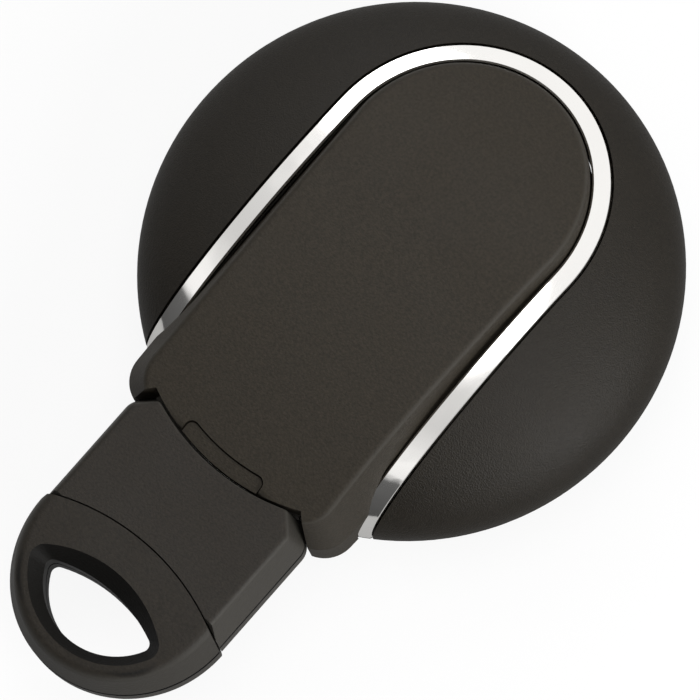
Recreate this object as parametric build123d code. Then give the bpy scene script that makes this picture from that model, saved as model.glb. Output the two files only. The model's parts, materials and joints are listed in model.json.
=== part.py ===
from build123d import *
import os

# Smart car key with a round head, lying on its button side with its plain rear side up.
# Millimetres. X runs across the key, +Y points to the round head and +Z to the rear side.
# Each piece is drawn about the head: X = Y = 0 is its middle and Z = 0 its widest plane.

# Fits between pieces
seam = 0.15
running_fit = 0.2
press_gap = 0.05

# Round head
head_radius = 27.3
rear_dome = 11.5
front_dome = 7.9
shell_wall = 1.4
rim_groove_high = 0.2
rim_groove_deep = 0.25

# Coin cell, which the width of the tongue comes from
cell_radius = 10.0
cell_thick = 3.2
cell_centre = -3.0
cell_lift = 0.2
cell_cap_step = 0.6
ring_wall = 0.8
ring_height = 2.9
contact_thick = 0.2
contact_width = 3.0
contact_foot = 1.0
contact_hook = 3.0

# Bright U-shaped trims, let into both domes
trim_step = 0.5
trim_arch = 15.8
arch_centre = 7.8
trim_width = 2.0
trim_depth = 1.2
trim_edge = 0.2

# Long raised tongue: the battery cover behind, the button panel in front
parting = 4.0
rear_crown = 11.4
rear_flat = 2.0
rear_tip_drop = 6.4
rear_neck_drop = 3.6
panel_depth = 8.2
front_flat_head = 14.0
front_flat_neck = 16.0
front_tip_drop = 2.9
front_neck_drop = 2.7
front_widest = -0.5
side_room = 4.4
neck_waist = 0.7
tongue_arch = 14.6
neck_corner = 3.5
side_lean = 0.33
neck_lean = 0.44
end_lean = 0.2
tongue_wall = 1.2
crease_round = 0.7

# Wavy seam where the tongue meets the emergency key
seam_middle = 28.0
seam_rise = 1.45
seam_notch_x = 8.1
ear_x = 9.5
ear_run = 4.0
ear_gap = 0.3
seam_gap = 0.3

# Emergency key: block, loop and blade
block_step = 2.2
block_thick = 9.4
block_lean = 14.5
block_band = 2.2
block_corner_round = 2.0
block_parting_edge = 0.15
block_seam_round = 0.4
loop_seam = 10.3
loop_seam_radius = 24.5
loop_step = 0.3
loop_shoulder = 13.2
loop_length = 25.4
loop_thick = 9.2
loop_thin = 6.6
loop_round = 1.2
loop_groove_high = 0.14
loop_groove_deep = 0.25
hole_half = 6.9
hole_top = 15.8
hole_corner = 17.4
hole_bottom = 22.1
hole_round = 0.8
dish_width = 1.6
dish_depth = 2.4
blade_width = 8.0
blade_thick = 2.4
blade_length = 42.0
blade_root = 7.5
blade_tip = 3.0
groove_width = 2.2
groove_depth = 0.5
groove_swing = 1.2
groove_start = 3.0
groove_bends = 6
pin_radius = 0.8
tenon_inset = 2.0
tenon_thick = 4.0
tenon_length = 1.8

# Release button at the neck
crescent_half = 4.85
crescent_depth = 1.5
crescent_corner = 0.7
crescent_recess = 0.35
release_half = 5.25
release_plate = 6.3
release_plate_thick = 0.7
release_leg = 0.9
release_inset = 1.4
release_depth = 1.2
release_bar_thick = 1.0
tooth_half = 1.5
spring_half = 3.6
spring_rise = 2.6
spring_strip = 0.2

# Chassis between the two tongue shells
chassis_rim = 1.0
chassis_wall = 1.0
chassis_bottom = -5.2
deck_thick = 0.5
tunnel_wall = 1.2
guide_thick = 1.1
spring_shelf = 0.8

# Circuit board, its switches, chips and wake-up aerial
board_top = -2.0
board_thick = 0.8
switch_side = 4.5
switch_height = 1.2
plunger_radius = 0.9
plunger_height = 0.5
chip_row = 5.5
controller_side = 6.0
controller_height = 1.0
controller_y = 1.0
radio_side = 4.0
radio_y = -10.0
small_height = 0.8
chip_edge = 0.15
crystal_width = 2.5
crystal_length = 3.2
crystal_y = -16.0
aerial_inset = 2.8
aerial_half_length = 5.5
aerial_y = -7.0
core_half = 0.9
core_low = 0.6
core_high = 2.4
flange_half = 1.6
flange_thick = 1.0
flange_high = 3.0
winding_wall = 0.4

# Front keys and their rubber mat
key_half = 8.0
key_corner = 2.2
key_recess = 0.25
key_flange = 0.5
key_flange_thick = 0.6
upper_key_low = 6.2
upper_key_high = 17.0
middle_key_low = -4.6
middle_key_high = 5.2
lower_key_low = -15.4
lower_key_high = -5.6
mat_thick = 0.6
mat_dot_radius = 1.6

# Widths that follow from the coin cell
tongue_half = cell_radius + side_room
neck_half = tongue_half - neck_waist
trim_half = tongue_half + trim_step
block_half = neck_half - block_step
loop_half = block_half + loop_step
chassis_half = cell_radius + chassis_rim
opening_half = trim_half - trim_width
opening_arch = trim_arch - trim_width
plug_half = opening_half - seam
plug_arch = opening_arch - seam

# Places along the key that follow from its wavy seam
seam_notch = seam_middle - seam_rise
tongue_end = seam_middle + seam
cavity_end = seam_notch - tongue_wall
release_outer = seam_notch - release_inset
release_inner = release_outer - release_depth
chassis_end = release_inner - running_fit
blade_tip_y = blade_length - seam_middle
loop_end = seam_middle + loop_length
overall_length = head_radius + loop_end

# Heights
panel_front = -panel_depth
mat_bottom = chassis_bottom - mat_thick
blade_low = parting - blade_thick / 2
blade_high = parting + blade_thick / 2
slot_low = blade_low - running_fit
slot_high = blade_high + running_fit
chassis_top = slot_high + deck_thick
bar_low = slot_low - 2 * release_bar_thick
shelf_top = bar_low - press_gap - spring_rise
switch_tip = board_top - board_thick - switch_height - plunger_height

# Larger than the whole key, for cuts that go right through
deep = 60.0
home = Location((0, loop_end - overall_length / 2, panel_depth))


def prism(face, low, high):
    """A flat outline drawn on z = 0, made into an upright solid between two heights."""
    return extrude(Pos(0, 0, low) * face, amount=high - low)


def block(x_low, x_high, y_low, y_high, z_low, z_high):
    """A plain block given by its faces."""
    size = (x_high - x_low, y_high - y_low, z_high - z_low)
    return Pos(x_low, y_low, z_low) * Box(*size, align=(Align.MIN, Align.MIN, Align.MIN))


def rod(radius, x, y, low, high):
    """An upright round rod."""
    aligned = (Align.CENTER, Align.CENTER, Align.MIN)
    return Pos(x, y, low) * Cylinder(radius, high - low, align=aligned)


def u_outline(half, arch, end):
    """Straight legs closed by half an ellipse at the head end."""
    cap = EllipticalCenterArc((0, arch_centre), half, arch, start_angle=0, arc_size=180)
    right = Line((half, arch_centre), (half, -end))
    left = Line((-half, arch_centre), (-half, -end))
    foot = Line((half, -end), (-half, -end))
    return make_face([cap, right, left, foot])


def dome(radius, height, side):
    """Half of a flattened ball over the head's widest plane."""
    arc = EllipticalCenterArc((0, 0), radius, height, start_angle=0, arc_size=90)
    base = Line((0, 0), (radius, 0))
    axis = Line((0, height), (0, 0))
    half_ball = revolve(Plane.XZ * make_face([arc, base, axis]), Axis.Z)
    return half_ball if side > 0 else mirror(half_ball, about=Plane.XY)


def head_shell(height, side):
    """C-shaped grained half of the head, hollow, with a rebate that the trim sits in."""
    far = side * deep
    low = min(0, far)
    high = max(0, far)
    trim_hole = prism(u_outline(trim_half + seam, trim_arch + seam, deep), low, high)
    tongue_hole = prism(u_outline(opening_half, opening_arch, deep), low, high)
    skin = dome(head_radius, height, side) - trim_hole
    ledge_drop = trim_depth + press_gap
    ledge = dome(head_radius - ledge_drop, height - ledge_drop, side) - tongue_hole
    inner_trim = trim_half + seam + shell_wall
    inner_arch = trim_arch + seam + shell_wall
    hollow_skin = dome(head_radius - shell_wall, height - shell_wall, side)
    hollow_skin = hollow_skin - prism(u_outline(inner_trim, inner_arch, deep), low, high)
    skin = skin - rim_groove(height)
    sunk = ledge_drop + shell_wall
    hollow_ledge = dome(head_radius - sunk, height - sunk, side)
    inner_half = opening_half + shell_wall
    hollow_ledge = hollow_ledge - prism(
        u_outline(inner_half, opening_arch + shell_wall, deep), low, high)
    return skin + ledge - hollow_skin - hollow_ledge


def rim_groove(height):
    """Fine groove round the rim, where the two halves of the head meet."""
    ring = rod(head_radius + shell_wall, 0, 0, -rim_groove_high / 2, rim_groove_high / 2)
    return ring - rod(head_radius - rim_groove_deep, 0, 0, -height, height)


def head_trim(height, side):
    """Bright U-shaped strip that follows the dome down to the rim."""
    far = side * deep
    low = min(0, far)
    high = max(0, far)
    band = prism(u_outline(trim_half, trim_arch, deep), low, high)
    band = band - prism(u_outline(opening_half + press_gap, opening_arch + press_gap, deep), low, high)
    skin = dome(head_radius, height, side)
    strip = band & (skin - dome(head_radius - trim_depth, height - trim_depth, side))
    bright_face = strip.faces().filter_by(GeomType.REVOLUTION).sort_by(lambda face: face.center().length)[-1]
    edges = [edge for edge in bright_face.edges() if edge.bounding_box().size.Z > trim_depth]
    return chamfer(edges, trim_edge) - rim_groove(height)


def tongue_outline(half, neck, arch, end, corner):
    """Plan of the tongue at one level: rounded end, gently waisted sides and rounded corners."""
    cap = EllipticalCenterArc((0, arch_centre), half, arch, start_angle=0, arc_size=180)
    right = TangentArc((half, arch_centre), (neck, -end), tangent=(0, -1))
    left = TangentArc((-half, arch_centre), (-neck, -end), tangent=(0, -1))
    foot = Line((neck, -end), (-neck, -end))
    face = make_face([cap, right, left, foot])
    if corner:
        face = fillet(face.vertices().group_by(Axis.Y)[0], neck_corner)
    return face


def level_outline(rise, inset):
    """Plan of the tongue a given height away from its widest level, where its walls lean in."""
    side = inset + side_lean * rise
    return tongue_outline(tongue_half - side, neck_half - inset - neck_lean * rise,
                          tongue_arch - side, tongue_end - end_lean * rise, inset == 0)


def plan_limit(inset):
    """Keeps the tongue between the trims, and clear of the domes where its neck flares over them."""
    in_head = prism(u_outline(plug_half - inset, plug_arch - inset, deep), -deep, deep)
    neck = block(-tongue_half, tongue_half, -deep, -arch_centre, -deep, deep)
    clearance = seam + inset
    for height, side in ((rear_dome, 1), (front_dome, -1)):
        neck = neck - dome(head_radius + clearance, height + clearance, side)
    return in_head + neck


def side_profile(crown, flat_head, flat_neck, tip_drop, neck_drop, inset, base):
    """Side view of the tongue: flat top, falling in an arc to each end, extruded across the key."""
    side = 1 if crown > base else -1
    top = crown - side * inset
    tip = (head_radius - trim_depth, top - side * tip_drop)
    neck = (-tongue_end - tongue_wall, top - side * neck_drop)
    flat = Line((flat_head, top), (-flat_neck, top))
    head_arc = TangentArc((flat_head, top), tip, tangent=(1, 0))
    neck_arc = TangentArc((-flat_neck, top), neck, tangent=(-1, 0))
    head_edge = Line(tip, (tip[0], base))
    neck_edge = Line(neck, (neck[0], base))
    bottom = Line((tip[0], base), (neck[0], base))
    face = make_face([flat, head_arc, neck_arc, head_edge, neck_edge, bottom])
    return extrude(Plane.YZ * face, amount=deep, both=True)


def rear_profile(inset, base):
    """Crowned side view of the rear panel."""
    return side_profile(rear_crown, rear_flat, rear_flat, rear_tip_drop, rear_neck_drop, inset, base)


def front_profile(inset, base):
    """Side view of the button panel, which is flat where the key rests."""
    return side_profile(panel_front, front_flat_head, front_flat_neck,
                        front_tip_drop, front_neck_drop, inset, base)


def drafted(widest, far, inset):
    """Tongue between its widest level and a far one, with walls that lean inwards."""
    near_face = level_outline(0, inset)
    far_face = level_outline(abs(far - widest), inset)
    return loft([Pos(0, 0, widest) * near_face, Pos(0, 0, far) * far_face])


def seam_radius():
    """Radius of the shallow arc in the middle of the wavy seam."""
    return (seam_notch_x ** 2 + seam_rise ** 2) / (2 * seam_rise)


def seam_arc_y(x):
    """Place of that arc along the key, at a distance from the middle."""
    radius = seam_radius()
    return seam_middle - radius + (radius ** 2 - x ** 2) ** 0.5


def end_region(gap, to_key):
    """The emergency key's side of the wavy seam, or the tongue's, moved by a gap."""
    y = seam_arc_y(ear_x) + gap
    arc = ThreePointArc((-ear_x, -y), (0, -seam_middle - gap), (ear_x, -y))
    ear = (ear_x + ear_run, -y - ear_run)
    far = -deep if to_key else 0
    right = Line((ear_x, -y), ear)
    left = Line((-ear_x, -y), (-ear[0], ear[1]))
    up_right = Line(ear, (ear[0], far))
    up_left = Line((-ear[0], ear[1]), (-ear[0], far))
    back = Line((ear[0], far), (-ear[0], far))
    return prism(make_face([arc, right, left, up_right, up_left, back]), -deep, deep)


def rear_tongue(inset, base):
    """Rear half of the tongue above a base level."""
    body = drafted(parting, rear_crown + 1, inset)
    if base < parting:
        body = body + prism(level_outline(0, inset), base, parting)
    return body & rear_profile(inset, base) & plan_limit(inset)


def front_tongue(inset, base):
    """Front half of the tongue below a base level."""
    body = drafted(front_widest, panel_front - 1, inset)
    body = body + prism(level_outline(0, inset), front_widest, base)
    return body & front_profile(inset, base) & plan_limit(inset)


def tongue_cavity_end():
    """Keeps the end wall of the tongue solid up to the wavy seam."""
    return block(-deep, deep, -deep, -cavity_end, -deep, deep)


def crescent(grow):
    """Plan of the release button's thumb face: a band along the seam, open towards the emergency key."""
    centre = seam_radius() - seam_middle
    plan = Pos(0, centre - deep / 2) * Rectangle(2 * (crescent_half + grow), deep)
    plan = plan - Pos(0, centre) * Circle(seam_radius() - crescent_depth - grow)
    return fillet(plan.vertices().group_by(Axis.Y)[-1], crescent_corner + grow)


def make_battery_cover():
    """Raised rear panel that lifts off over the coin cell."""
    cover = rear_tongue(0, parting)
    crease = [edge for edge in cover.edges() if edge.bounding_box().min.Z > parting + crease_round]
    cover = fillet(crease, crease_round) - end_region(0, True)
    hollow = rear_tongue(tongue_wall, parting - 1) - tongue_cavity_end()
    button_hole = prism(crescent(seam), -deep, deep)
    under = block(-release_half - seam, release_half + seam, -deep, -release_inner + seam,
                  -deep, release_plate + release_plate_thick + seam)
    return cover - hollow - button_hole - under


def make_front_panel():
    """Tub-shaped front half of the tongue with windows for three keys."""
    panel = front_tongue(0, parting)
    crease = [edge for edge in panel.edges() if edge.bounding_box().max.Z < panel_front + front_tip_drop]
    panel = fillet(crease, crease_round) - end_region(0, True)
    panel = panel - (front_tongue(tongue_wall, parting + 1) - tongue_cavity_end())
    panel = panel - block(-blade_width / 2 - running_fit, blade_width / 2 + running_fit,
                          -deep, 0, slot_low, deep)
    for face in (key_window(grow=seam) for key_window in (upper_key, middle_key, lower_key)):
        panel = panel - prism(face, -deep, chassis_bottom)
    return panel


def rounded_key(low, high, grow):
    """Plan of a front key with rounded corners."""
    plan = Pos(0, (low + high) / 2) * Rectangle(2 * (key_half + grow), high - low + 2 * grow)
    return fillet(plan.vertices(), key_corner)


def upper_key(grow):
    """Plan of the top key, which follows the rounded end of the panel."""
    plan = Pos(0, upper_key_low - grow + deep / 2) * Rectangle(2 * (key_half + grow), deep)
    end_arch = upper_key_high - arch_centre + grow
    plan = plan & u_outline(key_half + key_flange + grow, end_arch, deep)
    return fillet(plan.vertices().group_by(Axis.Y)[0], key_corner)


def middle_key(grow):
    """Plan of the middle key."""
    return rounded_key(middle_key_low, middle_key_high, grow)


def lower_key(grow):
    """Plan of the lower key."""
    return rounded_key(lower_key_low, lower_key_high, grow)


def make_front_key(plan):
    """Key cap with a flange behind the panel, so that it can't fall out."""
    flange_low = panel_front + tongue_wall + press_gap
    stem = prism(plan(grow=0), -deep, flange_low + key_flange_thick)
    stem = stem & front_profile(key_recess, flange_low + key_flange_thick)
    flange = prism(plan(grow=key_flange), flange_low, flange_low + key_flange_thick)
    inside = front_tongue(tongue_wall + press_gap, 0)
    return stem + (flange & inside)


def make_button_mat():
    """Rubber sheet between the keys and the switches, clamped under the chassis."""
    half = chassis_half - chassis_wall / 2
    arch = plug_arch - tongue_wall - 2 * chassis_wall
    mat = prism(u_outline(half, arch, chassis_end - chassis_wall), mat_bottom, chassis_bottom)
    for y in key_centres():
        mat = mat + rod(mat_dot_radius, 0, y, chassis_bottom, switch_tip - press_gap)
    return mat & front_tongue(tongue_wall + press_gap, 0)


def key_centres():
    """Places of the three keys along the key's axis."""
    upper = (upper_key_low + upper_key_high) / 2
    middle = (middle_key_low + middle_key_high) / 2
    lower = (lower_key_low + lower_key_high) / 2
    return upper, middle, lower


def make_chassis():
    """Inner carrier: battery well behind, blade tunnel through the middle, board bay in front."""
    plan = u_outline(chassis_half, plug_arch - tongue_wall - chassis_wall, chassis_end)
    bay_half = chassis_half - chassis_wall
    bay_arch = plug_arch - tongue_wall - 2 * chassis_wall
    bay = u_outline(bay_half, bay_arch, chassis_end - chassis_wall)
    body = prism(plan, chassis_bottom, chassis_top) & front_tongue(tongue_wall + press_gap, chassis_top)
    tunnel_half = blade_width / 2 + running_fit + tunnel_wall
    side_bay = prism(bay, chassis_bottom, chassis_top - deck_thick)
    tunnel = block(-tunnel_half, tunnel_half, -deep, deep, slot_low - tunnel_wall / 2, deep)
    rib = block(-tunnel_wall / 2, tunnel_wall / 2, -deep, deep, board_top, slot_low)
    body = body - (side_bay - tunnel - rib)
    ring = rod(cell_radius + running_fit + ring_wall, 0, cell_centre, chassis_top, chassis_top + ring_height)
    well = rod(cell_radius + running_fit, 0, cell_centre, chassis_top, deep)
    body = body + (ring & prism(plan, chassis_bottom, deep)) - well
    slot_half = blade_width / 2 + running_fit
    slot_tip = blade_tip_y + running_fit
    body = body - block(-slot_half, slot_half, -deep, slot_tip, slot_low, slot_high)
    guide_x = release_half + running_fit
    for side in (-1, 1):
        x_low = min(side * guide_x, side * (guide_x + guide_thick))
        body = body + block(x_low, x_low + guide_thick, -release_outer, -chassis_end,
                            shelf_top, chassis_top)
    shelf_half = guide_x + guide_thick
    return body + block(-shelf_half, shelf_half, -release_outer, -chassis_end,
                        shelf_top - spring_shelf, shelf_top)


def make_release_button():
    """Crescent thumb face with two legs and a cross bar that carries the catch."""
    thumb = prism(crescent(0), release_plate, rear_crown)
    thumb = thumb & rear_profile(crescent_recess, parting)
    plate = block(-release_half, release_half, -tongue_end, -release_inner,
                  release_plate, release_plate + release_plate_thick)
    bar_top = bar_low + release_bar_thick
    body = (thumb + plate) - end_region(0, True)
    for side in (-1, 1):
        x_low = min(side * release_half, side * (release_half - release_leg))
        body = body + block(x_low, x_low + release_leg, -release_outer, -release_inner,
                            bar_low, release_plate)
    body = body + block(-release_half, release_half, -release_outer, -release_inner, bar_low, bar_top)
    tooth = block(-tooth_half, tooth_half, -release_outer, -release_inner, bar_top, slot_low)
    return body + tooth


def make_release_spring():
    """Bow spring: a strip arched from the shelf up to the cross bar."""
    low = shelf_top
    high = low + spring_rise
    outer = ThreePointArc((-spring_half, low), (0, high), (spring_half, low))
    inner_half = spring_half - 2 * spring_strip
    inner = ThreePointArc((-inner_half, low), (0, high - spring_strip), (inner_half, low))
    foot_left = Line((-spring_half, low), (-inner_half, low))
    foot_right = Line((inner_half, low), (spring_half, low))
    strip = extrude(Plane.XZ * make_face([outer, inner, foot_left, foot_right]),
                    amount=release_outer - release_inner - 2 * running_fit)
    return Pos(0, -release_inner - running_fit, 0) * strip


def make_coin_cell():
    """Button battery: can and slightly smaller cap."""
    low = chassis_top + cell_lift
    can = rod(cell_radius, 0, cell_centre, low + contact_thick, low + cell_thick)
    can = fillet(can.edges().group_by(Axis.Z)[-1], contact_thick)
    return can + rod(cell_radius - cell_cap_step, 0, cell_centre, low, low + contact_thick)


def make_contact_minus():
    """Flat strip under the coin cell."""
    high = chassis_top + cell_lift - press_gap
    length = cell_radius - running_fit
    return block(-contact_width / 2, contact_width / 2, cell_centre - length, cell_centre + length / 2,
                 chassis_top, high)


def make_contact_plus():
    """Angled strip that stands beside the coin cell and hooks over its edge."""
    cell_top = chassis_top + cell_lift + cell_thick
    edge = cell_centre + cell_radius + running_fit + ring_wall + press_gap
    foot = block(-contact_width / 2, contact_width / 2, edge, edge + contact_foot, chassis_top,
                 chassis_top + contact_thick)
    post = block(-contact_width / 2, contact_width / 2, edge, edge + contact_thick, chassis_top,
                 cell_top + press_gap + contact_thick)
    hook = block(-contact_width / 2, contact_width / 2, edge - contact_hook, edge,
                 cell_top + press_gap, cell_top + press_gap + contact_thick)
    return foot + post + hook


def make_circuit_board():
    """Board with a rounded end, hung under the blade tunnel."""
    half = chassis_half - chassis_wall - seam
    arch = plug_arch - tongue_wall - 2 * chassis_wall - seam
    end = chassis_end - chassis_wall - seam
    return prism(u_outline(half, arch, end), board_top - board_thick, board_top)


def make_switch(y):
    """Push switch on the front face of the board."""
    top = board_top - board_thick
    half = switch_side / 2
    body = block(-half, half, y - half, y + half, top - switch_height, top)
    plunger = rod(plunger_radius, 0, y, top - switch_height - plunger_height, top - switch_height)
    return body + plunger


def chip(y, width, length, height):
    """Flat electronic part on the rear face of the board."""
    body = block(chip_row - width / 2, chip_row + width / 2, y - length / 2, y + length / 2,
                 board_top, board_top + height)
    return chamfer(body.edges().group_by(Axis.Z)[-1], chip_edge)


def aerial_bar(half, low, high, start, end):
    """A bar along the aerial, given by its half width, its heights above the board and its ends."""
    x = aerial_inset - chassis_half + chassis_wall
    return block(x - half, x + half, start, end, board_top + low, board_top + high)


def make_antenna_core():
    """Ferrite bar of the wake-up aerial, with flanged ends."""
    start = aerial_y - aerial_half_length
    end = aerial_y + aerial_half_length
    core = aerial_bar(core_half, core_low, core_high, start, end)
    core = core + aerial_bar(flange_half, 0, flange_high, start, start + flange_thick)
    return core + aerial_bar(flange_half, 0, flange_high, end - flange_thick, end)


def make_antenna_coil():
    """Copper winding round the ferrite bar."""
    start = aerial_y - aerial_half_length + flange_thick + press_gap
    end = aerial_y + aerial_half_length - flange_thick - press_gap
    outer = aerial_bar(core_half + winding_wall, core_low - winding_wall, core_high + winding_wall,
                       start, end)
    return outer - aerial_bar(core_half + press_gap, core_low - press_gap, core_high + press_gap,
                              -deep, deep)


def loop_cut(offset):
    """Everything beyond the arched seam between block and loop."""
    return rod(loop_seam_radius + offset, 0, -seam_middle - loop_seam - loop_seam_radius, -deep, deep)


def block_plan():
    """Plan of the grip block, with the two corners next to the tongue cut off."""
    y = seam_arc_y(ear_x) + ear_gap
    step = block_half - ear_x
    end = seam_middle + loop_shoulder
    inner = ear_x - ear_run
    points = [(-inner, -y + ear_run), (-block_half, -y - step), (-block_half, -end),
              (block_half, -end), (block_half, -y - step), (inner, -y + ear_run)]
    face = make_face(Polyline(*points, close=True))
    return fillet(face.vertices().group_by(Axis.Y)[1], block_corner_round)


def key_block(side):
    """One half of the grip block, with leaning walls, blade pocket and tenon pocket."""
    band = 0 if side > 0 else block_band
    base = parting + side * band
    half = extrude(Pos(0, 0, base) * block_plan(), amount=block_thick / 2 - band,
                   dir=(0, 0, side), taper=block_lean)
    if band:
        half = half + prism(block_plan(), base, parting)
        half = chamfer(half.edges().group_by(Axis.Z)[-1], block_parting_edge)
    outer = half.faces().sort_by(Axis.Z)[-1 if side > 0 else 0]
    half = fillet([edge for edge in outer.edges() if abs(edge.center().X) > ear_x / 2], crease_round)
    half = half - end_region(seam_gap, False) - loop_cut(seam)
    outer = half.faces().sort_by(Axis.Z)[-1 if side > 0 else 0]
    seam_edges = outer.edges().filter_by(GeomType.CIRCLE).sort_by(Axis.Y)
    half = fillet(seam_edges[-1], block_seam_round)
    root = block(-blade_width / 2 - press_gap, blade_width / 2 + press_gap,
                 -seam_middle - blade_root - press_gap, 0, blade_low - press_gap, blade_high + press_gap)
    pin = rod(pin_radius + press_gap, 0, pin_y(), pin_low() - press_gap, pin_high() + press_gap)
    pocket_end = tenon_length + press_gap - seam_middle - loop_seam
    reach = block_half - tenon_inset + press_gap
    tenon = block(-reach, reach, -deep, pocket_end, parting - tenon_thick / 2 - press_gap,
                  parting + tenon_thick / 2 + press_gap)
    return half - root - pin - tenon


def pin_y():
    """Place of the pin across the blade's root."""
    return -seam_middle - blade_root / 2


def pin_low():
    """Lower end of the blade pin."""
    return parting - block_thick / 2 + tongue_wall


def pin_high():
    """Upper end of the blade pin."""
    return parting + block_thick / 2 - tongue_wall


def make_key_blade():
    """Flat steel blade with a bevelled tip, a milled side groove and a catch hole."""
    half = blade_width / 2
    blade = block(-half, half, -seam_middle - blade_root, blade_tip_y, blade_low, blade_high)
    corners = blade.edges().filter_by(Axis.Z).group_by(Axis.Y)[-1]
    blade = chamfer(corners, blade_tip)
    blade = blade - block(-tooth_half - running_fit, tooth_half + running_fit,
                          -release_outer - running_fit, -release_inner + running_fit, -deep, deep)
    blade = blade - rod(pin_radius + press_gap, 0, pin_y(), -deep, deep)
    groove = blade_groove()
    return blade - Pos(0, 0, blade_high) * groove - Pos(0, 0, blade_low) * groove


def blade_groove():
    """Winding track that is milled into both faces of the blade."""
    start = groove_start - release_inner
    step = (blade_tip_y + blade_tip - start) / groove_bends
    bends = [(groove_swing * (-1) ** count, start + count * step) for count in range(groove_bends)]
    path = Polyline(*bends, (0, start + groove_bends * step))
    return extrude(trace(path, groove_width), amount=groove_depth, both=True)


def make_blade_pin():
    """Steel pin that holds the blade in the block."""
    return rod(pin_radius, 0, pin_y(), pin_low(), pin_high())


def loop_plan(inset):
    """Outline of the loop: short straight shoulders and a half-round end."""
    half = loop_half - inset
    shoulder = -seam_middle - loop_shoulder
    arch = EllipticalCenterArc((0, shoulder), half, loop_length - loop_shoulder - inset,
                               start_angle=180, arc_size=180)
    right = Line((half, shoulder), (half, -seam_notch))
    left = Line((-half, shoulder), (-half, -seam_notch))
    top = Line((half, -seam_notch), (-half, -seam_notch))
    return make_face([arch, right, left, top])


def hole_plan(grow):
    """Half-moon hole: flat arch towards the block, round towards the end."""
    half = hole_half + grow
    corner = -seam_middle - hole_corner
    upper = ThreePointArc((-half, corner), (0, -seam_middle - hole_top + grow), (half, corner))
    lower = ThreePointArc((-half, corner), (0, -seam_middle - hole_bottom - grow), (half, corner))
    return fillet(make_face([upper, lower]).vertices(), hole_round + grow / 2)


def loop_profile():
    """Side view of the loop: flat near the block, falling in an arc to its end."""
    rise = loop_thick / 2
    fall = loop_thin / 2
    shoulder = -seam_middle - loop_shoulder
    upper = Line((-seam_notch, parting + rise), (shoulder, parting + rise))
    lower = Line((-seam_notch, parting - rise), (shoulder, parting - rise))
    upper_arc = TangentArc((shoulder, parting + rise), (-loop_end, parting + fall), tangent=(-1, 0))
    lower_arc = TangentArc((shoulder, parting - rise), (-loop_end, parting - fall), tangent=(-1, 0))
    end = Line((-loop_end, parting + fall), (-loop_end, parting - fall))
    start = Line((-seam_notch, parting + rise), (-seam_notch, parting - rise))
    return extrude(Plane.YZ * make_face([upper, lower, upper_arc, lower_arc, end, start]),
                   amount=deep, both=True)


def loop_side(side):
    """Upper or lower half of the loop's body before its hole is cut."""
    band = 0 if side > 0 else block_band
    base = parting + side * band
    half = extrude(Pos(0, 0, base) * loop_plan(0), amount=loop_thick / 2 - band,
                   dir=(0, 0, side), taper=block_lean)
    if band:
        half = half + prism(loop_plan(0), base, parting)
    return half


def make_key_ring_loop():
    """Half-moon loop with a tenon in the block, a rounded rim and a dished hole."""
    body = (loop_side(1) + loop_side(-1)) & loop_profile()
    far = body.faces().filter_by(lambda face: abs(face.center().Z - parting) > loop_thin / 2)
    body = fillet([edge for face in far for edge in face.edges()
                   if edge.bounding_box().max.Y < -seam_middle - loop_seam / 2], loop_round)
    for side in (-1, 1):
        surface = parting + side * loop_thick / 2
        deep_face = Pos(0, 0, surface - side * dish_depth) * hole_plan(0)
        wide_face = Pos(0, 0, surface) * hole_plan(dish_width)
        body = body - loft([deep_face, wide_face])
    body = body - prism(hole_plan(0), -deep, deep)
    groove = prism(loop_plan(0), parting - loop_groove_high / 2, parting + loop_groove_high / 2)
    groove = groove - prism(loop_plan(loop_groove_deep) - hole_plan(loop_groove_deep), -deep, deep)
    body = (body - groove) & loop_cut(0)
    reach = block_half - tenon_inset
    start = -seam_middle - loop_seam
    tenon = block(-reach, reach, start - tenon_length, start + tenon_length,
                  parting - tenon_thick / 2, parting + tenon_thick / 2)
    return body + (tenon - prism(hole_plan(dish_width), -deep, deep))


def write(name, shape):
    """Moves a piece to its place on the table and writes it."""
    export_step(home * shape, "parts/" + name + ".step")


os.makedirs("parts", exist_ok=True)
write("rear_shell", head_shell(rear_dome, 1))
write("front_shell", head_shell(front_dome, -1))
write("rear_trim", head_trim(rear_dome, 1))
write("front_trim", head_trim(front_dome, -1))
write("battery_cover", make_battery_cover())
write("front_panel", make_front_panel())
write("release_button", make_release_button())
write("release_spring", make_release_spring())
write("chassis", make_chassis())
write("coin_cell", make_coin_cell())
write("contact_plus", make_contact_plus())
write("contact_minus", make_contact_minus())
write("circuit_board", make_circuit_board())
write("button_mat", make_button_mat())
write("lock_button", make_front_key(middle_key))
write("unlock_button", make_front_key(upper_key))
write("tailgate_button", make_front_key(lower_key))
unlock_y, lock_y, tailgate_y = key_centres()
write("lock_switch", make_switch(lock_y))
write("unlock_switch", make_switch(unlock_y))
write("tailgate_switch", make_switch(tailgate_y))
write("controller_chip", chip(controller_y, controller_side, controller_side, controller_height))
write("radio_chip", chip(radio_y, radio_side, radio_side, small_height))
write("crystal", chip(crystal_y, crystal_width, crystal_length, small_height))
write("antenna_core", make_antenna_core())
write("antenna_coil", make_antenna_coil())
write("key_block_rear", key_block(1))
write("key_block_front", key_block(-1))
write("key_blade", make_key_blade())
write("blade_pin", make_blade_pin())
write("key_ring_loop", make_key_ring_loop())
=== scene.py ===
# %% [markdown]
# # A round-headed car key
# The key lies on its button side, so the picture shows its plain rear side: a domed round
# head with a bright U-shaped trim, a long raised panel that is also the battery cover, and
# the grip of the emergency key with its half-moon loop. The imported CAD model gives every
# shape and place in metres. This lesson adds the camera, the light, the finishes and the
# small details that are printed, pressed in or guessed, such as the signs on the keys.

import json
import math

import bmesh
import bpy
from mathutils import Matrix, Vector


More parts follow.
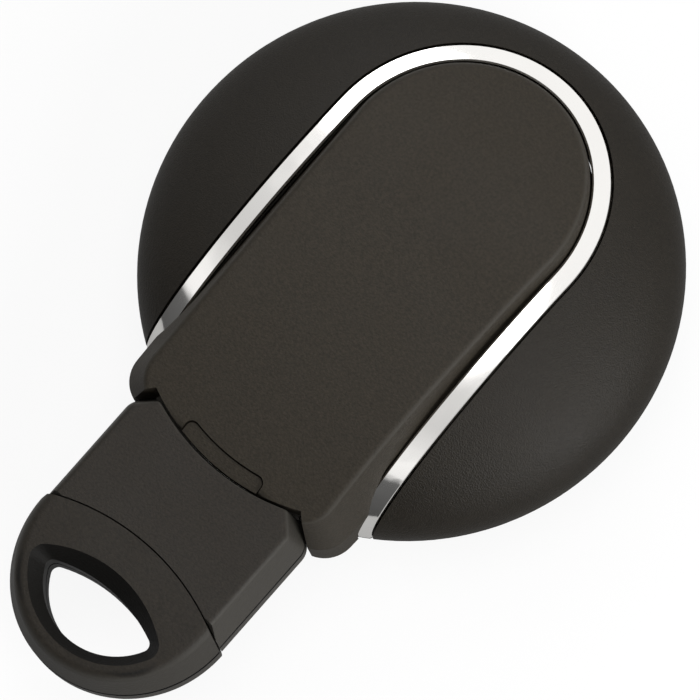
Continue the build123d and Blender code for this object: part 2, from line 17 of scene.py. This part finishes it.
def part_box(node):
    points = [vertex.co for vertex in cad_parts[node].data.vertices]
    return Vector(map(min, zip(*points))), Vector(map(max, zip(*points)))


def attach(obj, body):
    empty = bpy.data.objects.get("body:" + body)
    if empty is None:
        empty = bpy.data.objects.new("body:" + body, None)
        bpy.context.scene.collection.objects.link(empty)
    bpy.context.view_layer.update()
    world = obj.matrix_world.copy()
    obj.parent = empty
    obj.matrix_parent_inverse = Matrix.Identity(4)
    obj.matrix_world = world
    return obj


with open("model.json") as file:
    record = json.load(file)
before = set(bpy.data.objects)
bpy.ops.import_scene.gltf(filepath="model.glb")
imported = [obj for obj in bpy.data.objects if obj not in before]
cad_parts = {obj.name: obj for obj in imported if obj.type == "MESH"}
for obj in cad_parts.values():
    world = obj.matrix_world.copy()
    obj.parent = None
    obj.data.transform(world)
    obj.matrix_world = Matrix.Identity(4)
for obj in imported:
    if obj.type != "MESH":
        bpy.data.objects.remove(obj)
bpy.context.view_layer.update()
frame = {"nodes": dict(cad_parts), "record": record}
nodes = frame["nodes"]

# %% [markdown]
# ## Units and a look at what is given
# Blender works in metres, and this key is 81 mm long, so sizes are written in millimetres
# and turned into metres by one value.

# %% Millimetres
MM = 0.001

# %% [markdown]
# ## Camera
# The photograph looks down on the key from about 77 degrees, from its right side, with the
# key turned in the picture. A long lens far away gives the nearly flat perspective. The
# camera is placed by a direction, a distance and a roll about its own axis, because those
# three are easy to read from a picture one after the other.

# %% Camera
azimuth = math.radians(64.83)
elevation = math.radians(76.95)
roll = math.radians(-23.97)
distance = 696 * MM
target = Vector((0.75, 3.05, 8.2)) * MM
back = Vector((math.sin(azimuth) * math.cos(elevation),
               -math.cos(azimuth) * math.cos(elevation),
               math.sin(elevation)))
camera_data = bpy.data.cameras.new("camera")
camera_data.sensor_width = 36
camera_data.lens = 361.6
camera_data.clip_start = 0.01
camera_data.clip_end = 10
camera = bpy.data.objects.new("camera", camera_data)
bpy.context.scene.collection.objects.link(camera)
upright = (-back).to_track_quat("-Z", "Y").to_matrix().to_4x4()
camera.matrix_world = (Matrix.Translation(target + back * distance) @ upright
                       @ Matrix.Rotation(roll, 4, "Z"))
bpy.context.scene.camera = camera
bpy.context.scene.view_settings.view_transform = "Standard"
print("camera at", tuple(round(v, 3) for v in camera.matrix_world.translation))

# %% [markdown]
# ## Floor, backdrop and light
# The photograph is a cut-out on white with soft light from all round, strongest from the
# right. Three large soft lamps and a pale world do that, weak enough that a colour renders
# about as it is written. The floor and the world show plain white only to the camera and in
# reflections, by Light Path, so the object itself isn't overlit and the floor still keeps
# its shadow. Bright plating shows what is around it, and an all-white room would leave it
# flat, so the world that it mirrors gets darker low down beyond the grip.

# %% Node helpers
def add_node(tree, kind, **settings):
    node = tree.nodes.new(kind)
    for key, value in settings.items():
        if hasattr(node, key):
            setattr(node, key, value)
        else:
            node.inputs[key.replace("_", " ")].default_value = value
    return node


def seen_directly(tree):
    """1 for camera, glossy and transmission rays, else 0."""
    path = add_node(tree, "ShaderNodeLightPath")
    either = add_node(tree, "ShaderNodeMath", operation="MAXIMUM")
    tree.links.new(path.outputs["Is Camera Ray"], either.inputs[0])
    tree.links.new(path.outputs["Is Glossy Ray"], either.inputs[1])
    both = add_node(tree, "ShaderNodeMath", operation="MAXIMUM")
    tree.links.new(either.outputs[0], both.inputs[0])
    tree.links.new(path.outputs["Is Transmission Ray"], both.inputs[1])
    return both.outputs[0]


# %% Grey ramp
COLOUR_A, COLOUR_B = 6, 7
FLOAT_A, FLOAT_B = 2, 3


def grey_ramp(tree, source, stops):
    """Turns a value into a grey: each stop is a value and how light it is there."""
    ramp = add_node(tree, "ShaderNodeValToRGB")
    elements = ramp.color_ramp.elements
    elements[0].position, elements[1].position = stops[0][0], stops[-1][0]
    elements[0].color = (*[stops[0][1]] * 3, 1)
    elements[1].color = (*[stops[-1][1]] * 3, 1)
    for place, grey in stops[1:-1]:
        elements.new(place).color = (grey, grey, grey, 1)
    tree.links.new(source, ramp.inputs[0])
    return ramp.outputs[0]


# %% World
ambient_strength, backdrop_strength = 0.25, 1.0
world = bpy.data.worlds.new("studio")
bpy.context.scene.world = world
world.use_nodes = True
sky = world.node_tree
sky.nodes.clear()
ambient = add_node(sky, "ShaderNodeBackground", Color=(1, 1, 1, 1), Strength=ambient_strength)
backdrop = add_node(sky, "ShaderNodeBackground", Color=(1, 1, 1, 1), Strength=backdrop_strength)
either_sky = add_node(sky, "ShaderNodeMixShader")
sky_out = add_node(sky, "ShaderNodeOutputWorld")
sky.links.new(seen_directly(sky), either_sky.inputs[0])
sky.links.new(ambient.outputs[0], either_sky.inputs[1])
sky.links.new(backdrop.outputs[0], either_sky.inputs[2])
sky.links.new(either_sky.outputs[0], sky_out.inputs[0])

# %% Darker room for reflections, low down beyond the grip
direction = add_node(sky, "ShaderNodeTexCoord")


def darker_towards(axis, stops, mottled):
    """Grey by the angle to an axis, with a rough edge: each stop is a cosine and a grey."""
    along = add_node(sky, "ShaderNodeVectorMath", operation="DOT_PRODUCT")
    along.inputs[1].default_value = axis
    sky.links.new(direction.outputs["Generated"], along.inputs[0])
    patches = add_node(sky, "ShaderNodeTexNoise", Scale=14.0, Detail=6.0)
    sky.links.new(direction.outputs["Generated"], patches.inputs["Vector"])
    shift = add_node(sky, "ShaderNodeMapRange")
    shift.inputs["To Min"].default_value = 0.5 - mottled
    shift.inputs["To Max"].default_value = 0.5 + mottled
    sky.links.new(patches.outputs[0], shift.inputs["Value"])
    halved = add_node(sky, "ShaderNodeMath", operation="MULTIPLY_ADD")
    halved.inputs[1].default_value = 0.5
    sky.links.new(along.outputs["Value"], halved.inputs[0])
    sky.links.new(shift.outputs["Result"], halved.inputs[2])
    places = [(0.5 + cosine / 2, grey) for cosine, grey in stops]
    return grey_ramp(sky, halved.outputs[0], places)


low_beyond_grip = (0, -0.77, -0.64)
room_greys = ((-0.6, 1.0), (-0.48, 0.72), (-0.3, 0.66), (-0.17, 0.8),
              (-0.04, 1.0), (0.1, 0.95), (0.15, 0.12), (0.9, 0.05))
beyond_grip = darker_towards(low_beyond_grip, room_greys, mottled=0.06)
camera_ray = add_node(sky, "ShaderNodeLightPath")
shown = add_node(sky, "ShaderNodeMix", data_type="RGBA")
shown.inputs[COLOUR_B].default_value = (1, 1, 1, 1)
sky.links.new(camera_ray.outputs["Is Camera Ray"], shown.inputs[0])
sky.links.new(beyond_grip, shown.inputs[COLOUR_A])
sky.links.new(shown.outputs[2], backdrop.inputs["Color"])
print("world ready")

# %% Floor
floor_mesh = bpy.data.meshes.new("floor")
floor_bm = bmesh.new()
floor_reach = 3
below_rest = Matrix.Translation((0, 0, -0.02 * MM))
bmesh.ops.create_grid(floor_bm, x_segments=1, y_segments=1, size=floor_reach, matrix=below_rest)
floor_bm.to_mesh(floor_mesh)
floor_bm.free()
floor = bpy.data.objects.new("floor", floor_mesh)
bpy.context.scene.collection.objects.link(floor)
floor_paint = bpy.data.materials.new("pale_floor")
floor_paint.use_nodes = True
paint = floor_paint.node_tree
paint.nodes.clear()
matte = add_node(paint, "ShaderNodeBsdfDiffuse", Color=(0.95, 0.95, 0.95, 1))
white = add_node(paint, "ShaderNodeEmission", Color=(1, 1, 1, 1))
ray = add_node(paint, "ShaderNodeLightPath")
glow = add_node(paint, "ShaderNodeMapRange")
mirrored_glow, seen_glow = 0.42, 1.0
glow.inputs["To Min"].default_value = mirrored_glow
glow.inputs["To Max"].default_value = seen_glow
paint.links.new(ray.outputs["Is Camera Ray"], glow.inputs["Value"])
paint.links.new(glow.outputs["Result"], white.inputs["Strength"])
share = add_node(paint, "ShaderNodeMath", operation="MULTIPLY")
glow_share = 0.88
share.inputs[1].default_value = glow_share
either_floor = add_node(paint, "ShaderNodeMixShader")
floor_out = add_node(paint, "ShaderNodeOutputMaterial")
paint.links.new(seen_directly(paint), share.inputs[0])
paint.links.new(share.outputs[0], either_floor.inputs[0])
paint.links.new(matte.outputs[0], either_floor.inputs[1])
paint.links.new(white.outputs[0], either_floor.inputs[2])
paint.links.new(either_floor.outputs[0], floor_out.inputs[0])
floor.data.materials.append(floor_paint)
print("floor ready, just below the rest face")


# %% Lamps
def soft_lamp(name, place, size, power):
    data = bpy.data.lights.new(name, "AREA")
    data.shape = "DISK"
    data.size = size
    data.energy = power
    lamp = bpy.data.objects.new(name, data)
    bpy.context.scene.collection.objects.link(lamp)
    place = Vector(place)
    lamp.location = place
    lamp.rotation_mode = "QUATERNION"
    lamp.rotation_quaternion = (-place).to_track_quat("-Z", "Y")


soft_lamp("right_softbox", (0.64, 0.0, 0.34), 0.45, 4.6)
soft_lamp("top_softbox", (0.0, 0.12, 0.8), 0.6, 2.2)
soft_lamp("far_softbox", (-0.4, 0.42, 0.5), 0.5, 1.4)

# %% [markdown]
# ## Finishes
# Every finish is a small recipe on Object coordinates, which are metres here: a fine pattern
# for the mould's texture, a broad cloudy one for handling marks, and a roughness that follows
# the cloudy one. A function makes them all, because mouldings differ mostly in grain size and
# depth.

# %% Patterns and blends
def pattern(tree, kind, scale, **settings):
    where = add_node(tree, "ShaderNodeTexCoord")
    texture = add_node(tree, kind, **settings)
    texture.inputs["Scale"].default_value = scale
    tree.links.new(where.outputs["Object"], texture.inputs["Vector"])
    return texture


def spread(tree, source, low, high):
    """Turns a 0 to 1 pattern into a value between low and high."""
    node = add_node(tree, "ShaderNodeMapRange")
    node.inputs["To Min"].default_value = low
    node.inputs["To Max"].default_value = high
    tree.links.new(source, node.inputs["Value"])
    return node.outputs["Result"]


def tint(tree, source, dark, light):
    """Blends two colours by a pattern."""
    node = add_node(tree, "ShaderNodeMix", data_type="RGBA")
    tree.links.new(source, node.inputs[0])
    node.inputs[COLOUR_A].default_value = (*dark, 1)
    node.inputs[COLOUR_B].default_value = (*light, 1)
    return node.outputs[2]


# %% A recipe for moulded and metal finishes
cloud_scale, speckle_scale = 160, 3600
finishes = {}


def finish(name, dark, light, rough, metallic=0.0, specular=0.5, speckle=0.0):
    """A material whose colour and roughness vary softly, as on a handled part."""
    material = bpy.data.materials.new(name)
    material.use_nodes = True
    tree = material.node_tree
    shader = tree.nodes["Principled BSDF"]
    shader.inputs["Metallic"].default_value = metallic
    shader.inputs["Specular IOR Level"].default_value = specular
    cloud = pattern(tree, "ShaderNodeTexNoise", cloud_scale, Detail=4.0)
    mixed = cloud.outputs[0]
    if speckle:
        dots = pattern(tree, "ShaderNodeTexNoise", speckle_scale, Detail=2.0)
        sharper = add_node(tree, "ShaderNodeMapRange")
        sharper.inputs["From Min"].default_value = 0.3
        sharper.inputs["From Max"].default_value = 0.7
        tree.links.new(dots.outputs[0], sharper.inputs["Value"])
        blend = add_node(tree, "ShaderNodeMix", data_type="FLOAT")
        blend.inputs[0].default_value = speckle
        tree.links.new(cloud.outputs[0], blend.inputs[FLOAT_A])
        tree.links.new(sharper.outputs["Result"], blend.inputs[FLOAT_B])
        mixed = blend.outputs[0]
    tree.links.new(tint(tree, mixed, dark, light), shader.inputs["Base Color"])
    tree.links.new(spread(tree, cloud.outputs[0], *rough), shader.inputs["Roughness"])
    finishes[name] = material
    return material


# %% Surface relief
def grain(material, kind, scale, depth, strength, **settings):
    """Adds one layer of surface relief on top of what the material has."""
    tree = material.node_tree
    shader = tree.nodes["Principled BSDF"]
    texture = pattern(tree, kind, scale, **settings)
    relief = add_node(tree, "ShaderNodeBump")
    relief.inputs["Distance"].default_value = depth
    relief.inputs["Strength"].default_value = strength
    below = shader.inputs["Normal"].links
    if below:
        tree.links.new(below[0].from_socket, relief.inputs["Normal"])
    tree.links.new(texture.outputs[0], relief.inputs["Height"])
    tree.links.new(relief.outputs[0], shader.inputs["Normal"])


# %% Dark mouldings
leather = finish("grained_plastic", (0.006, 0.0046, 0.0028), (0.0152, 0.0123, 0.0083),
                 (0.44, 0.58), specular=0.2, speckle=0.6)
grain(leather, "ShaderNodeTexVoronoi", 5200, 0.03 * MM, 0.8)
grain(leather, "ShaderNodeTexNoise", 7000, 0.06 * MM, 0.9, Detail=2.0)

panel = finish("panel_plastic", (0.012, 0.0095, 0.006), (0.029, 0.0235, 0.016), (0.56, 0.7),
               specular=0.22, speckle=0.7)
grain(panel, "ShaderNodeTexNoise", 4600, 0.06 * MM, 0.9, Detail=3.0)

grip = finish("block_plastic", (0.007, 0.0055, 0.0037), (0.0195, 0.0155, 0.011), (0.5, 0.66),
              specular=0.22, speckle=0.7)
grain(grip, "ShaderNodeTexNoise", 4200, 0.06 * MM, 0.9, Detail=3.0)

loop_skin = finish("loop_plastic", (0.0075, 0.006, 0.004), (0.0195, 0.0157, 0.0112), (0.5, 0.66),
                   specular=0.2, speckle=0.7)
grain(loop_skin, "ShaderNodeTexNoise", 4200, 0.05 * MM, 0.9, Detail=3.0)

# %% Inner mouldings
inner = finish("chassis_plastic", (0.04, 0.04, 0.04), (0.06, 0.06, 0.06), (0.5, 0.6))
grain(inner, "ShaderNodeTexNoise", 900, 0.02 * MM, 0.3)

rubber = finish("mat_rubber", (0.045, 0.045, 0.047), (0.065, 0.065, 0.068), (0.7, 0.85))
grain(rubber, "ShaderNodeTexNoise", 2500, 0.02 * MM, 0.4)

caps = finish("key_plastic", (0.018, 0.018, 0.018), (0.026, 0.026, 0.026), (0.4, 0.52))
grain(caps, "ShaderNodeTexNoise", 4200, 0.015 * MM, 0.5)

epoxy = finish("chip_plastic", (0.02, 0.02, 0.022), (0.03, 0.03, 0.033), (0.45, 0.6))
grain(epoxy, "ShaderNodeTexNoise", 6000, 0.01 * MM, 0.5)

sintered = finish("ferrite", (0.05, 0.047, 0.047), (0.085, 0.08, 0.08), (0.5, 0.7))
grain(sintered, "ShaderNodeTexNoise", 4000, 0.02 * MM, 0.6)

# %% Metals
chrome = finish("bright_trim", (0.88, 0.865, 0.84), (0.95, 0.935, 0.91), (0.04, 0.12),
                metallic=1.0)
grain(chrome, "ShaderNodeTexNoise", 220, 0.03 * MM, 0.08)

finish("switch_metal", (0.55, 0.55, 0.53), (0.68, 0.68, 0.66), (0.25, 0.4), metallic=1.0)

finish("copper", (0.5, 0.2, 0.09), (0.65, 0.3, 0.15), (0.25, 0.4), metallic=1.0)

finish("cell_steel", (0.6, 0.6, 0.59), (0.7, 0.7, 0.69), (0.2, 0.36), metallic=1.0)

finish("spring_steel", (0.52, 0.51, 0.48), (0.66, 0.65, 0.62), (0.25, 0.42), metallic=1.0)

blade = finish("blade_steel", (0.5, 0.5, 0.49), (0.64, 0.64, 0.63), (0.24, 0.42), metallic=1.0)
grain(blade, "ShaderNodeTexNoise", 800, 0.01 * MM, 0.3)

# %% Board
finish("board", (0.012, 0.09, 0.035), (0.02, 0.15, 0.06), (0.25, 0.4))
print("finishes:", len(finishes))

# %% [markdown]
# ## Finishes on the CAD nodes
# The record says which material slot each node takes, so the finishes are handed out by that.

# %% Hand out the finishes
for part in frame["record"]["subparts"]:
    node = nodes[part["node"]]
    node.data.materials.clear()
    node.data.materials.append(finishes[part["material_slot"]])

# %% [markdown]
# ## Painted sheen on walls and edges, painted shade in the dish
# Flat faces keep their mould texture, but the walls and above all the rounded edges between
# them are painted a lighter grey: a painted sheen on the walls and a painted highlight on the
# edges. How steep a spot is tells the three apart: the upright part of the normal is 1 on a flat
# face, 0 on a wall, and between the two only on a rounded edge. The slope of the dish round the
# ring's hole is painted darker instead, as painted shade. The greys were chosen to match the
# photograph.

# %% Inside or outside an ellipse
def within(tree, centre, radii, inside):
    """1 inside an ellipse seen from above and 0 outside it, or the other way round."""
    place = add_node(tree, "ShaderNodeTexCoord")
    shifted = add_node(tree, "ShaderNodeVectorMath", operation="SUBTRACT")
    shifted.inputs[1].default_value = centre
    tree.links.new(place.outputs["Object"], shifted.inputs[0])
    scaled = add_node(tree, "ShaderNodeVectorMath", operation="DIVIDE")
    scaled.inputs[1].default_value = radii
    tree.links.new(shifted.outputs[0], scaled.inputs[0])
    reach = add_node(tree, "ShaderNodeVectorMath", operation="LENGTH")
    tree.links.new(scaled.outputs[0], reach.inputs[0])
    edge = add_node(tree, "ShaderNodeMapRange")
    edge.inputs["From Min"].default_value = 0.97
    edge.inputs["From Max"].default_value = 1.03
    edge.inputs["To Min"].default_value = 1.0 if inside else 0.0
    edge.inputs["To Max"].default_value = 0.0 if inside else 1.0
    tree.links.new(reach.outputs["Value"], edge.inputs["Value"])
    return edge.outputs["Result"]


# %% Painted sheen and shade by slope
def paint_light_by_slope(material, stops, colour, area=None, inside=False):
    """Paints a lighter or darker grey in by slope, as painted sheen or painted shade: each stop
    is an upright share and how much of the colour shows.
    """
    tree = material.node_tree
    shader = tree.nodes["Principled BSDF"]
    facing = add_node(tree, "ShaderNodeNewGeometry")
    split = add_node(tree, "ShaderNodeSeparateXYZ")
    tree.links.new(facing.outputs["Normal"], split.inputs[0])
    flat = add_node(tree, "ShaderNodeMath", operation="ABSOLUTE")
    tree.links.new(split.outputs["Z"], flat.inputs[0])
    shows = grey_ramp(tree, flat.outputs[0], stops)
    if area:
        kept = add_node(tree, "ShaderNodeMath", operation="MULTIPLY")
        tree.links.new(shows, kept.inputs[0])
        tree.links.new(within(tree, *area, inside), kept.inputs[1])
        shows = kept.outputs[0]
    mix = add_node(tree, "ShaderNodeMix", data_type="RGBA")
    mix.inputs[COLOUR_B].default_value = (*colour, 1)
    tree.links.new(shows, mix.inputs[0])
    tree.links.new(shader.inputs["Base Color"].links[0].from_socket, mix.inputs[COLOUR_A])
    tree.links.new(mix.outputs[2], shader.inputs["Base Color"])


# %% Where each moulding gets its painted sheen and shade
wall_and_edge = ((0.3, 0.75), (0.6, 1.0), (0.93, 0.0))
edge_alone = ((0.3, 0.0), (0.6, 1.0), (0.93, 0.0))
any_slope = ((0.9, 1.0), (0.985, 0.0))
dish_middle = Vector((0, -33.3, 12.2)) * MM
dish_radii = Vector((8.7, 5.0, 1000)) * MM
dish = (dish_middle, dish_radii)

# painted sheen on the grip's walls and a painted highlight on its rounded edges
paint_light_by_slope(grip, wall_and_edge, (0.044, 0.041, 0.0355))
# painted sheen on the ring loop's walls and a painted highlight on its edges, outside the dish
paint_light_by_slope(loop_skin, wall_and_edge, (0.036, 0.0335, 0.029), area=dish)
# painted shade on the slopes of the dish round the ring's hole
paint_light_by_slope(loop_skin, any_slope, (0.004, 0.0036, 0.003), area=dish, inside=True)
# painted highlight on the panel's rounded edges alone
paint_light_by_slope(panel, edge_alone, (0.036, 0.032, 0.026))
# prints the materials that carry the painted sheen and shade
print("worn:", [material.name for material in (grip, loop_skin, panel)])

# %% [markdown]
# ## The grip's parting line
# The two halves of the grip meet in a fine groove. The CAD solids have the groove itself.
# The shade in it is painted: a thin dark, matt band in the finish, found by the height of a
# point: a band by height stays in place on both halves and needs no picture.

# %% Painted shade in the groove
def paint_groove_shade(material, middle, half):
    """Paints shade into a thin level band and takes its gloss away."""
    tree = material.node_tree
    shader = tree.nodes["Principled BSDF"]
    place = add_node(tree, "ShaderNodeTexCoord")
    split = add_node(tree, "ShaderNodeSeparateXYZ")
    tree.links.new(place.outputs["Object"], split.inputs[0])
    level = split.outputs["Z"]
    for operation, value in (("SUBTRACT", middle), ("ABSOLUTE", 0), ("LESS_THAN", half)):
        step = add_node(tree, "ShaderNodeMath", operation=operation)
        step.inputs[1].default_value = value
        tree.links.new(level, step.inputs[0])
        level = step.outputs[0]
    groove_shade = add_node(tree, "ShaderNodeMix", data_type="RGBA")
    groove_shade.inputs[COLOUR_B].default_value = (0.0005, 0.0005, 0.0005, 1)
    matt = add_node(tree, "ShaderNodeMix", data_type="FLOAT")
    matt.inputs[FLOAT_B].default_value = 1.0
    for mix, plain, socket in ((groove_shade, COLOUR_A, "Base Color"), (matt, FLOAT_A, "Roughness")):
        tree.links.new(level, mix.inputs[0])
        tree.links.new(shader.inputs[socket].links[0].from_socket, mix.inputs[plain])
    tree.links.new(groove_shade.outputs[2], shader.inputs["Base Color"])
    tree.links.new(matt.outputs[0], shader.inputs["Roughness"])


parting_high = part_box("key_block_front")[1].z
# painted shade along the parting groove of the grip, and of the ring loop below
paint_groove_shade(grip, parting_high - 0.25 * MM, 0.28 * MM)
paint_groove_shade(loop_skin, parting_high - 0.1 * MM, 0.25 * MM)
print("parting line at", round(parting_high / MM, 2), "mm")

# %% [markdown]
# ## Marks on the front keys
# The three keys on the hidden side carry small printed signs: a closed padlock, an open one
# and a car with its lid up. Such a print stands a few hundredths of a millimetre proud. An
# image would need a picture file, so each sign is put together from thin bars and bows: a
# bar is a stretched cube, and a bow is a small square that is spun round a centre. Strokes
# that cross lie at slightly different heights, so no two faces fill the same place. The
# photograph doesn't show this side, so the keys and their signs are a guess.

# %% Helpers for flat signs
print_thick = 0.05 * MM
stroke = 0.34 * MM
layer = 0.004 * MM
full_turn = 2 * math.pi


def bar(bm, start, end, height, wide=stroke, thick=print_thick):
    """A straight stroke between two points at a height."""
    run = Vector(end) - Vector(start)
    middle = (Vector(end) + Vector(start)) / 2
    place = Matrix.Translation((middle.x, middle.y, height))
    turn = Matrix.Rotation(math.atan2(run.y, run.x), 4, "Z")
    size = Matrix.Diagonal((run.length + wide, wide, thick, 1))
    bmesh.ops.create_cube(bm, size=1, matrix=place @ turn @ size)


# %% A curved stroke
def bow(bm, centre, radius, sweep, height):
    """A curved stroke, from the +X side of its centre round by an angle."""
    upright = Matrix.Rotation(math.radians(90), 4, "X")
    size = Matrix.Diagonal((stroke, print_thick, 1, 1))
    place = Matrix.Translation((centre[0] + radius, centre[1], height))
    grid = bmesh.ops.create_grid(bm, x_segments=1, y_segments=1, size=0.5,
                                 matrix=place @ upright @ size)
    faces = list({face for vert in grid["verts"] for face in vert.link_faces})
    edges = list({edge for vert in grid["verts"] for edge in vert.link_edges})
    closed = sweep == full_turn
    if closed:
        bmesh.ops.delete(bm, geom=faces, context="FACES_ONLY")
        faces = []
    bmesh.ops.spin(bm, geom=grid["verts"] + edges + faces, cent=(*centre, height),
                   axis=(0, 0, 1), angle=sweep, steps=24, use_merge=closed)


# %% A finished piece
def finished_piece(name, bm, body, material):
    """Closes, tidies and links a new piece, and lets it ride on a body."""
    bmesh.ops.holes_fill(bm, edges=bm.edges)
    bmesh.ops.remove_doubles(bm, verts=bm.verts, dist=0.0005 * MM)
    bmesh.ops.recalc_face_normals(bm, faces=bm.faces)
    open_edges = sum(not edge.is_manifold for edge in bm.edges)
    mesh = bpy.data.meshes.new(name)
    bm.to_mesh(mesh)
    bm.free()
    mesh.materials.append(material)
    piece = bpy.data.objects.new(name, mesh)
    bpy.context.scene.collection.objects.link(piece)
    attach(piece, body)
    print(name, "faces:", len(mesh.polygons), "open edges:", open_edges)
    return piece


# %% Ink of the marks
ink = finish("printed_mark", (0.55, 0.55, 0.54), (0.68, 0.68, 0.67), (0.45, 0.6))


# %% Padlocks
def padlock(name, node, body, lift):
    """A body of one wide bar, and a shackle whose right leg stands off it by a lift."""
    low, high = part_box(node)
    x, y = 0, (low.y + high.y) / 2 - 0.5 * MM
    height = low.z - print_thick / 4
    half, tall, reach = 0.35 * MM, 2.2 * MM, 0.85 * MM
    bm = bmesh.new()
    bar(bm, (x - half, y, 0), (x + half, y, 0), height, wide=tall)
    top = y + tall / 2 + lift
    bend = top + 0.45 * MM
    bar(bm, (x - reach, y + tall / 2, 0), (x - reach, bend, 0), height - layer)
    bar(bm, (x + reach, top, 0), (x + reach, bend, 0), height - layer)
    bow(bm, (x, bend), reach, math.pi, height - 2 * layer)
    finished_piece(name, bm, body, ink)


padlock("lock_mark", "lock_button", "lock_key", 0)
padlock("unlock_mark", "unlock_button", "unlock_key", 0.7 * MM)


# %% Car with its lid up
low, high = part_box("tailgate_button")
middle = Vector((0, (low.y + high.y) / 2, 0))
outline = ((-2.6, -0.7), (-2.6, 0.1), (-1.7, 0.3), (-0.9, 1.2),
           (1.2, 1.2), (2.4, 0.3), (2.5, -0.7))
lid = ((1.2, 1.2), (2.7, 2.1))
signs = bmesh.new()
sign_height = low.z - print_thick / 4
sill = ((-0.9, -0.7), (0.9, -0.7))
strokes = [*zip(outline, outline[1:]), lid, sill]
for number, ends in enumerate(strokes):
    start, end = (middle + Vector((*point, 0)) * MM for point in ends)
    bar(signs, start, end, sign_height - number * layer)
axle_drop, wheel_radius = 0.7 * MM, 0.5 * MM
for axle in (-1.6, 1.6):
    bow(signs, (axle * MM, middle.y - axle_drop), wheel_radius, full_turn, sign_height)
finished_piece("tailgate_mark", signs, "tailgate_key", ink)

# %% [markdown]
# ## Dust lip of the grip
# The emergency key's grip must slide away from the raised panel, so there is a gap between
# them. A thin rib on the grip, above the blade, closes it against dust and light. The rib is
# a guess, because the photograph shows only that no light comes through. It follows the
# curved end of the panel, so a small upright square is spun along that curve, and a short
# bar on each side closes the slanting gap beside it.

# %% Dust lip
panel_end = Vector((0, 8.4, 0)) * MM
lip_radius, lip_deep, lip_reach = 23.356 * MM, 0.5 * MM, 9.2 * MM
lip_low, lip_high = 13.5 * MM, 14.3 * MM
lip_angle = math.asin(lip_reach / lip_radius)
lip = bmesh.new()
section = Matrix.Diagonal((lip_deep, lip_high - lip_low, 1, 1))
stand = Matrix.Rotation(math.radians(90), 4, "X") @ section
middle_of_lip = Matrix.Translation((lip_radius + lip_deep / 2, 0, (lip_low + lip_high) / 2))
turn = Matrix.Rotation(-math.pi / 2 - lip_angle, 4, "Z")
start = bmesh.ops.create_grid(lip, x_segments=1, y_segments=1, size=0.5,
                              matrix=Matrix.Translation(panel_end) @ turn @ middle_of_lip @ stand)
faces = list({face for vert in start["verts"] for face in vert.link_faces})
bmesh.ops.spin(lip, geom=start["verts"] + faces, cent=panel_end, axis=(0, 0, 1),
               angle=2 * lip_angle, steps=48)
ear_ends = ((9.35, -13.08), (10.85, -14.58))
ear_height, ear_wide, ear_thick = 11.2 * MM, 0.4 * MM, 1.2 * MM
for side in (-1, 1):
    start, end = (Vector((side * x, y)) * MM for x, y in ear_ends)
    bar(lip, start, end, ear_height, wide=ear_wide, thick=ear_thick)
lip_piece = finished_piece("block_lip", lip, "emergency_key", grip)

# %% [markdown]
# ## Sign on the coin cell
# Lifting the cover shows the cell's can, which has its plus sign pressed in. Two crossed bars,
# a little darker than the can, stand for it.

# %% Plus sign
low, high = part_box("coin_cell")
plus = bmesh.new()
centre = (low + high) / 2
half_arm = 1.6 * MM
for number, run in enumerate((Vector((half_arm, 0, 0)), Vector((0, half_arm, 0)))):
    bar(plus, centre - run, centre + run, high.z + number * layer)
etched = finish("etched_steel", (0.3, 0.3, 0.3), (0.4, 0.4, 0.39), (0.4, 0.5), metallic=1.0)
finished_piece("cell_mark", plus, "fob", etched)
